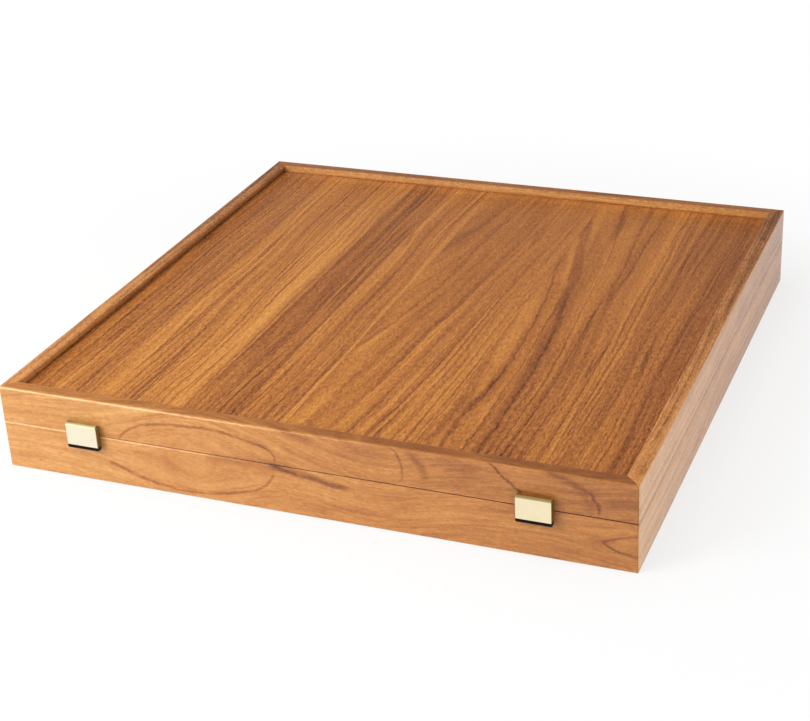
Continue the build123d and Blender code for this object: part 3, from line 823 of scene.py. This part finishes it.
def felt_sheet(node, finish, face_up):
    """A felt lining: a soft sheet with rounded edges and a faintly uneven face."""
    low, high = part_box(node)
    thick = high.z - low.z
    edge = 0.4 * thick
    edge_depths = (0.25 * thick, 0.6 * thick)
    cells, waves, wave_depth = 90, 24.0, 0.16
    width, length = high.x - low.x, high.y - low.y

    def spread(size):
        """Places along one side: two close rows at each end, and even rows between them."""
        even = [edge + (size - 2 * edge) * step / cells for step in range(1, cells)]
        return [0.0, edge, *even, size - edge, size]

    across, along = spread(width), spread(length)
    b = bmesh.new()
    points = {}
    for layer in (0, 1):
        for i, x in enumerate(across):
            for j, y in enumerate(along):
                rim = i in (0, len(across) - 1) or j in (0, len(along) - 1)
                place = Vector((low.x + x, low.y + y, 0))
                wave = 0.5 + 0.5 * noise.noise(place * waves + Vector((0, 0, low.z * 50)))
                depth = 0.0 if layer == 0 else thick * (1.0 - wave_depth * wave)
                if rim:
                    depth = edge_depths[layer]
                z = low.z + depth if face_up else high.z - depth
                points[layer, i, j] = b.verts.new((place.x, place.y, z))
    last_i, last_j = len(across) - 1, len(along) - 1
    for layer in (0, 1):
        for i in range(last_i):
            for j in range(last_j):
                corners = ((i, j), (i + 1, j), (i + 1, j + 1), (i, j + 1))
                b.faces.new([points[layer, *corner] for corner in corners])
    ring = [(i, 0) for i in range(last_i)] + [(last_i, j) for j in range(last_j)]
    ring += [(i, last_j) for i in range(last_i, 0, -1)] + [(0, j) for j in range(last_j, 0, -1)]
    for here, after in zip(ring, ring[1:] + ring[:1]):
        b.faces.new([points[0, *here], points[0, *after], points[1, *after], points[1, *here]])
    bmesh.ops.recalc_face_normals(b, faces=b.faces)
    made = piece(b, node, "_felt", finish)
    made.data.polygons.foreach_set("use_smooth", [True] * len(made.data.polygons))


def paint(node, finish):
    """Gives a CAD node a material."""
    mesh = nodes[node].data
    mesh.materials.clear()
    mesh.materials.append(finish)


MAPLE = [(150, 112, 70), (192, 152, 104), (216, 180, 132), (230, 200, 156), (240, 216, 178)]
DARK_WOOD = [(38, 22, 14), (62, 37, 22), (86, 53, 31), (108, 70, 42), (132, 90, 58)]
INNER = [(120, 84, 50), (158, 116, 72), (186, 144, 94), (206, 166, 116), (220, 186, 140)]
BRASS = (212, 170, 96)
SPRING_BRONZE = (190, 140, 84)
FELT_GREEN = (30, 70, 48)
# The clasps' brass: a pale face with duller patches, and painted light and shade: the right clasp's face
# and edges darker than the left's, olive edges standing in for the darker surroundings they reflect,
# shaded sides, and a near-black lip standing in for the shadow under the flap
CLASP_FACE = (249, 240, 213)
CLASP_FACE_RIGHT_SHADED = (246, 232, 194)
CLASP_DULL = (226, 206, 158)
CLASP_EDGE_PAINTED = (172, 158, 104)
CLASP_EDGE_RIGHT_PAINTED = (150, 124, 68)
CLASP_SIDE_SHADE = (122, 100, 54)
CLASP_LIP_SHADE = (34, 27, 18)
# Millimetres behind the flap's face where the painted reflection and shade on its edges begin and are
# full, and the height of the lip's painted shade and how softly it ends
clasp_edge_from, clasp_edge_to = 0.05, 0.3
clasp_lip_shade_height, clasp_lip_blend = 2.35, 0.25
# How much the edges are eased, in metres
WOOD_EASE = 0.00015
METAL_EASE = 0.00008
TILE_EASE = 0.00012
squares_per_side = 8
# A screw's thread: its pitch in metres, the points on its outline for each turn, its depth and the
# taper towards the tip as shares of the core, and the ways that the slots are turned, in radians
screw_pitch = 0.0009
thread_points = 6
thread_depth = 0.3
screw_taper = 0.55
screw_turns = (0.3, 1.1, 2.2)
dome_angles = [radians(angle) for angle in (6, 20, 38, 56, 72, 84, 90)]

woods = {
    panel_material(): ["lid_top_panel"],
    front_material(): ["lid_front_wall", "base_front_wall"],
    side_material("right_wood", right, 0.0, -0.06, -0.1, 0.1): ["lid_right_wall", "base_right_wall"],
    side_material("left_wood", left, 400.0, -0.06, 0.0, -0.08): ["lid_left_wall", "base_left_wall"],
    back_material(): ["lid_back_wall", "base_back_wall"],
    plain_wood("floor_wood", INNER, True, seed=50.0): ["base_floor_panel"],
    plain_wood("ledge_wood", INNER, True, seed=90.0): ["ledge_front", "ledge_back", "divider_cross"],
    plain_wood("divider_wood", INNER, False, seed=130.0): ["ledge_left", "ledge_right"],
    plain_wood("divider_long_wood", INNER, False, seed=170.0): ["divider_left", "divider_right"],
    plain_wood("core_wood", MAPLE, True, seed=210.0): ["board_core"],
    plain_wood("border_wood", WALNUT, True, 0.4, seed=250.0): ["board_border_front", "board_border_back"],
    plain_wood("border_side_wood", WALNUT, False, 0.4, seed=290.0): [
        "board_border_left", "board_border_right",
    ],
}
for finish, names in woods.items():
    for name in names:
        eased(name, finish, WOOD_EASE)

field_low, field_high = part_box("board_light_squares")
field = (field_low.x * MM, field_low.y * MM, (field_high.x - field_low.x) * MM / squares_per_side)
tiles("board_light_squares", plain_wood("light_squares_wood", MAPLE, False, seed=370.0, squares=field))
tiles("board_dark_squares", plain_wood("dark_squares_wood", DARK_WOOD, False, seed=410.0, squares=field))
paint("board_inlay_line", plain_wood("line_wood", MAPLE, True, 0.7, seed=330.0))

brass = metal("brass", BRASS, 0.32, True)
fastener = metal("fastener_brass", BRASS, 0.36, False)
bronze = metal("spring_bronze", SPRING_BRONZE, 0.34, True)
face = clasp_material("clasp_brass")
for side in ("left", "right"):
    eased(f"clasp_{side}_flap", face, METAL_EASE)
    for name in (
        f"clasp_{side}_bracket", f"clasp_{side}_keeper", f"hinge_{side}_lid_leaf",
        f"hinge_{side}_base_leaf", f"clasp_{side}_pin", f"hinge_{side}_pin",
    ):
        eased(name, brass, METAL_EASE)
    eased(f"clasp_{side}_spring", bronze, METAL_EASE / 2)
screws("hinge_base_screws", False)
screws("hinge_lid_screws", True)
nails("clasp_bracket_nails")
nails("clasp_keeper_nails")
felt = felt_material("felt", FELT_GREEN)
felt_sheet("base_floor_lining", felt, True)
felt_sheet("lid_lining", felt, False)


# The floor takes the object's shadow near it, and is plain white farther off. Metres from the middle.
floor_shade_near, floor_shade_far = 0.24, 0.42
floor_reach, floor_grey = 12.0, 0.85
# What the lamps are aimed at, just over the floor
aim = Vector((0, 0, 0.02))


def floor_and_lights():
    """A pale floor, soft lamps and a white surround."""
    mesh = bpy.data.meshes.new("floor")
    signs = ((-1, -1), (1, -1), (1, 1), (-1, 1))
    mesh.from_pydata([(floor_reach * i, floor_reach * j, 0) for i, j in signs], [], [(0, 1, 2, 3)])
    floor = bpy.data.objects.new("floor", mesh)
    bpy.context.scene.collection.objects.link(floor)
    made, g, shader = material("floor_white")
    shader.inputs["Base Color"].default_value = (floor_grey, floor_grey, floor_grey, 1)
    shader.inputs["Roughness"].default_value = 0.9
    glow = g.node("ShaderNodeEmission")
    glow.inputs["Strength"].default_value = 1.0
    path = g.node("ShaderNodeLightPath")
    seen = g.math("MAXIMUM", path.outputs["Is Camera Ray"], path.outputs["Is Glossy Ray"])
    x, y, z = g.split(g.node("ShaderNodeTexCoord").outputs["Object"])
    away = g.math("SQRT", g.add(g.mul(x, x), g.mul(y, y)))
    share = g.mul(seen, g.smooth(away, floor_shade_near, floor_shade_far, 0.75, 1.0))
    blend = g.node("ShaderNodeMixShader")
    g.feed(blend.inputs[0], share)
    g.feed(blend.inputs[1], shader.outputs[0])
    g.feed(blend.inputs[2], glow.outputs[0])
    g.feed(made.node_tree.nodes["Material Output"].inputs[0], blend.outputs[0])
    mesh.materials.append(made)

    # The camera sees white. Reflections see a surround that is bright low down and dark overhead, and
    # other rays a softer light that grows upwards.
    world = bpy.data.worlds.new("surround")
    world.use_nodes = True
    bpy.context.scene.world = world
    g = Graph(world.node_tree)
    path = g.node("ShaderNodeLightPath")
    x, y, up = g.split(g.node("ShaderNodeTexCoord").outputs["Generated"])
    glossy = g.mul(path.outputs["Is Glossy Ray"], g.smooth(up, 0.02, 0.4, 1.0, 0.06))
    clear = g.math("MAXIMUM", path.outputs["Is Camera Ray"], path.outputs["Is Transmission Ray"])
    fill = g.smooth(up, 0.0, 0.7, 0.22, 0.62)
    other = g.mul(g.sub(1.0, g.math("MAXIMUM", clear, path.outputs["Is Glossy Ray"])), fill)
    ground = world.node_tree.nodes["Background"]
    ground.inputs["Color"].default_value = (1, 1, 1, 1)
    g.feed(ground.inputs["Strength"], g.total(clear, glossy, other))

    for name, place, size, power in (
        ("key", (-0.85, -1.05, 0.75), 0.7, 15.0),
        ("above", (-0.35, -0.4, 1.7), 1.4, 11.0),
        ("right", (1.4, -1.1, 0.6), 1.2, 2.5),
    ):
        lamp = bpy.data.lights.new(name, "AREA")
        lamp.size = size
        lamp.energy = power
        made = bpy.data.objects.new(name, lamp)
        # Only the key lamp shows in reflections
        made.visible_glossy = name == "key"
        made.location = place
        made.rotation_euler = (aim - Vector(place)).to_track_quat("-Z", "Y").to_euler()
        bpy.context.scene.collection.objects.link(made)


def camera():
    """The photograph's viewpoint."""
    lens = bpy.data.cameras.new("camera")
    lens.lens = camera_lens
    lens.sensor_width = sensor_width
    lens.sensor_fit = "HORIZONTAL"
    lens.clip_end = 50.0
    made = bpy.data.objects.new("camera", lens)
    made.location = camera_place
    made.rotation_euler = [radians(angle) for angle in camera_turn]
    bpy.context.scene.collection.objects.link(made)
    bpy.context.scene.camera = made


floor_and_lights()
camera()
bpy.context.scene.view_settings.view_transform = "Standard"
